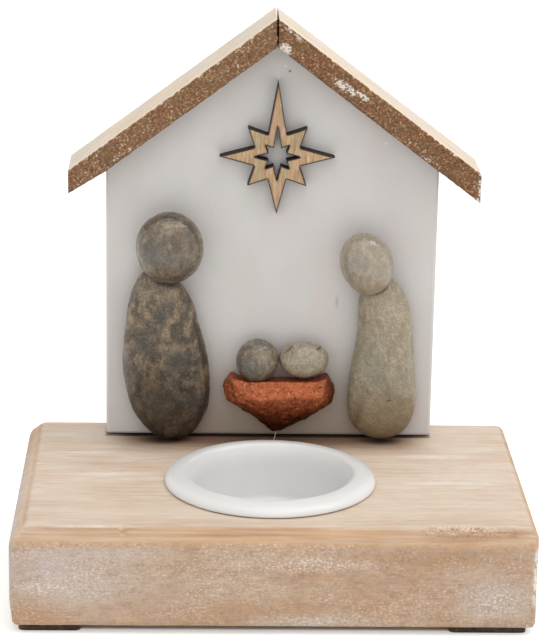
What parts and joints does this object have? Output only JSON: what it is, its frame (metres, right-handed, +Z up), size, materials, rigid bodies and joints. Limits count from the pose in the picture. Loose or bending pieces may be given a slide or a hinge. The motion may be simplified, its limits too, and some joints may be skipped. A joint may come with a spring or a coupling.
{
  "type": "nativity tealight holder",
  "caption": "Wooden block with a white cup for a tealight, and behind it a white house-shaped panel with roof boards, a cut-out star and pebble figures.",
  "frame": {"origin": "on the table, under the middle of the wooden block", "axes": "+Z up, +X to the right seen from the front, and the front with the cup faces -Y"},
  "size_m": [0.135, 0.0882, 0.1477],
  "materials": {
    "base_block": "whitewashed, rubbed back at the edges",
    "tealight_cup": "white gloss enamel",
    "house_panel": "white satin paint",
    "roof_boards": "brown stain with worn pale wash",
    "star": "laser-cut plywood, edges scorched",
    "left_figure": "dark mottled pebble, varnished",
    "right_figure": "pale pebble, lightly varnished",
    "manger_stone": "copper paint over rough stone",
    "infant_head": "grey-brown pebble",
    "infant_body": "pale grey pebble",
    "felt_pads": "dark brown felt",
    "screws": "zinc plated"
  },
  "bodies": {
    "root": {"base_block": "base_block", "tealight_cup": "tealight_cup", "house_panel": "house_panel", "roof_board_left": "roof_boards", "roof_board_right": "roof_boards", "star": "star", "left_figure_body": "left_figure", "left_figure_head": "left_figure", "right_figure_body": "right_figure", "right_figure_head": "right_figure", "manger_stone": "manger_stone", "infant_head": "infant_head", "infant_body": "infant_body", "felt_pad_front_left": "felt_pads", "felt_pad_front_right": "felt_pads", "felt_pad_back_left": "felt_pads", "felt_pad_back_right": "felt_pads", "panel_screw_left": "screws", "panel_screw_right": "screws"}
  },
  "joints": []
}
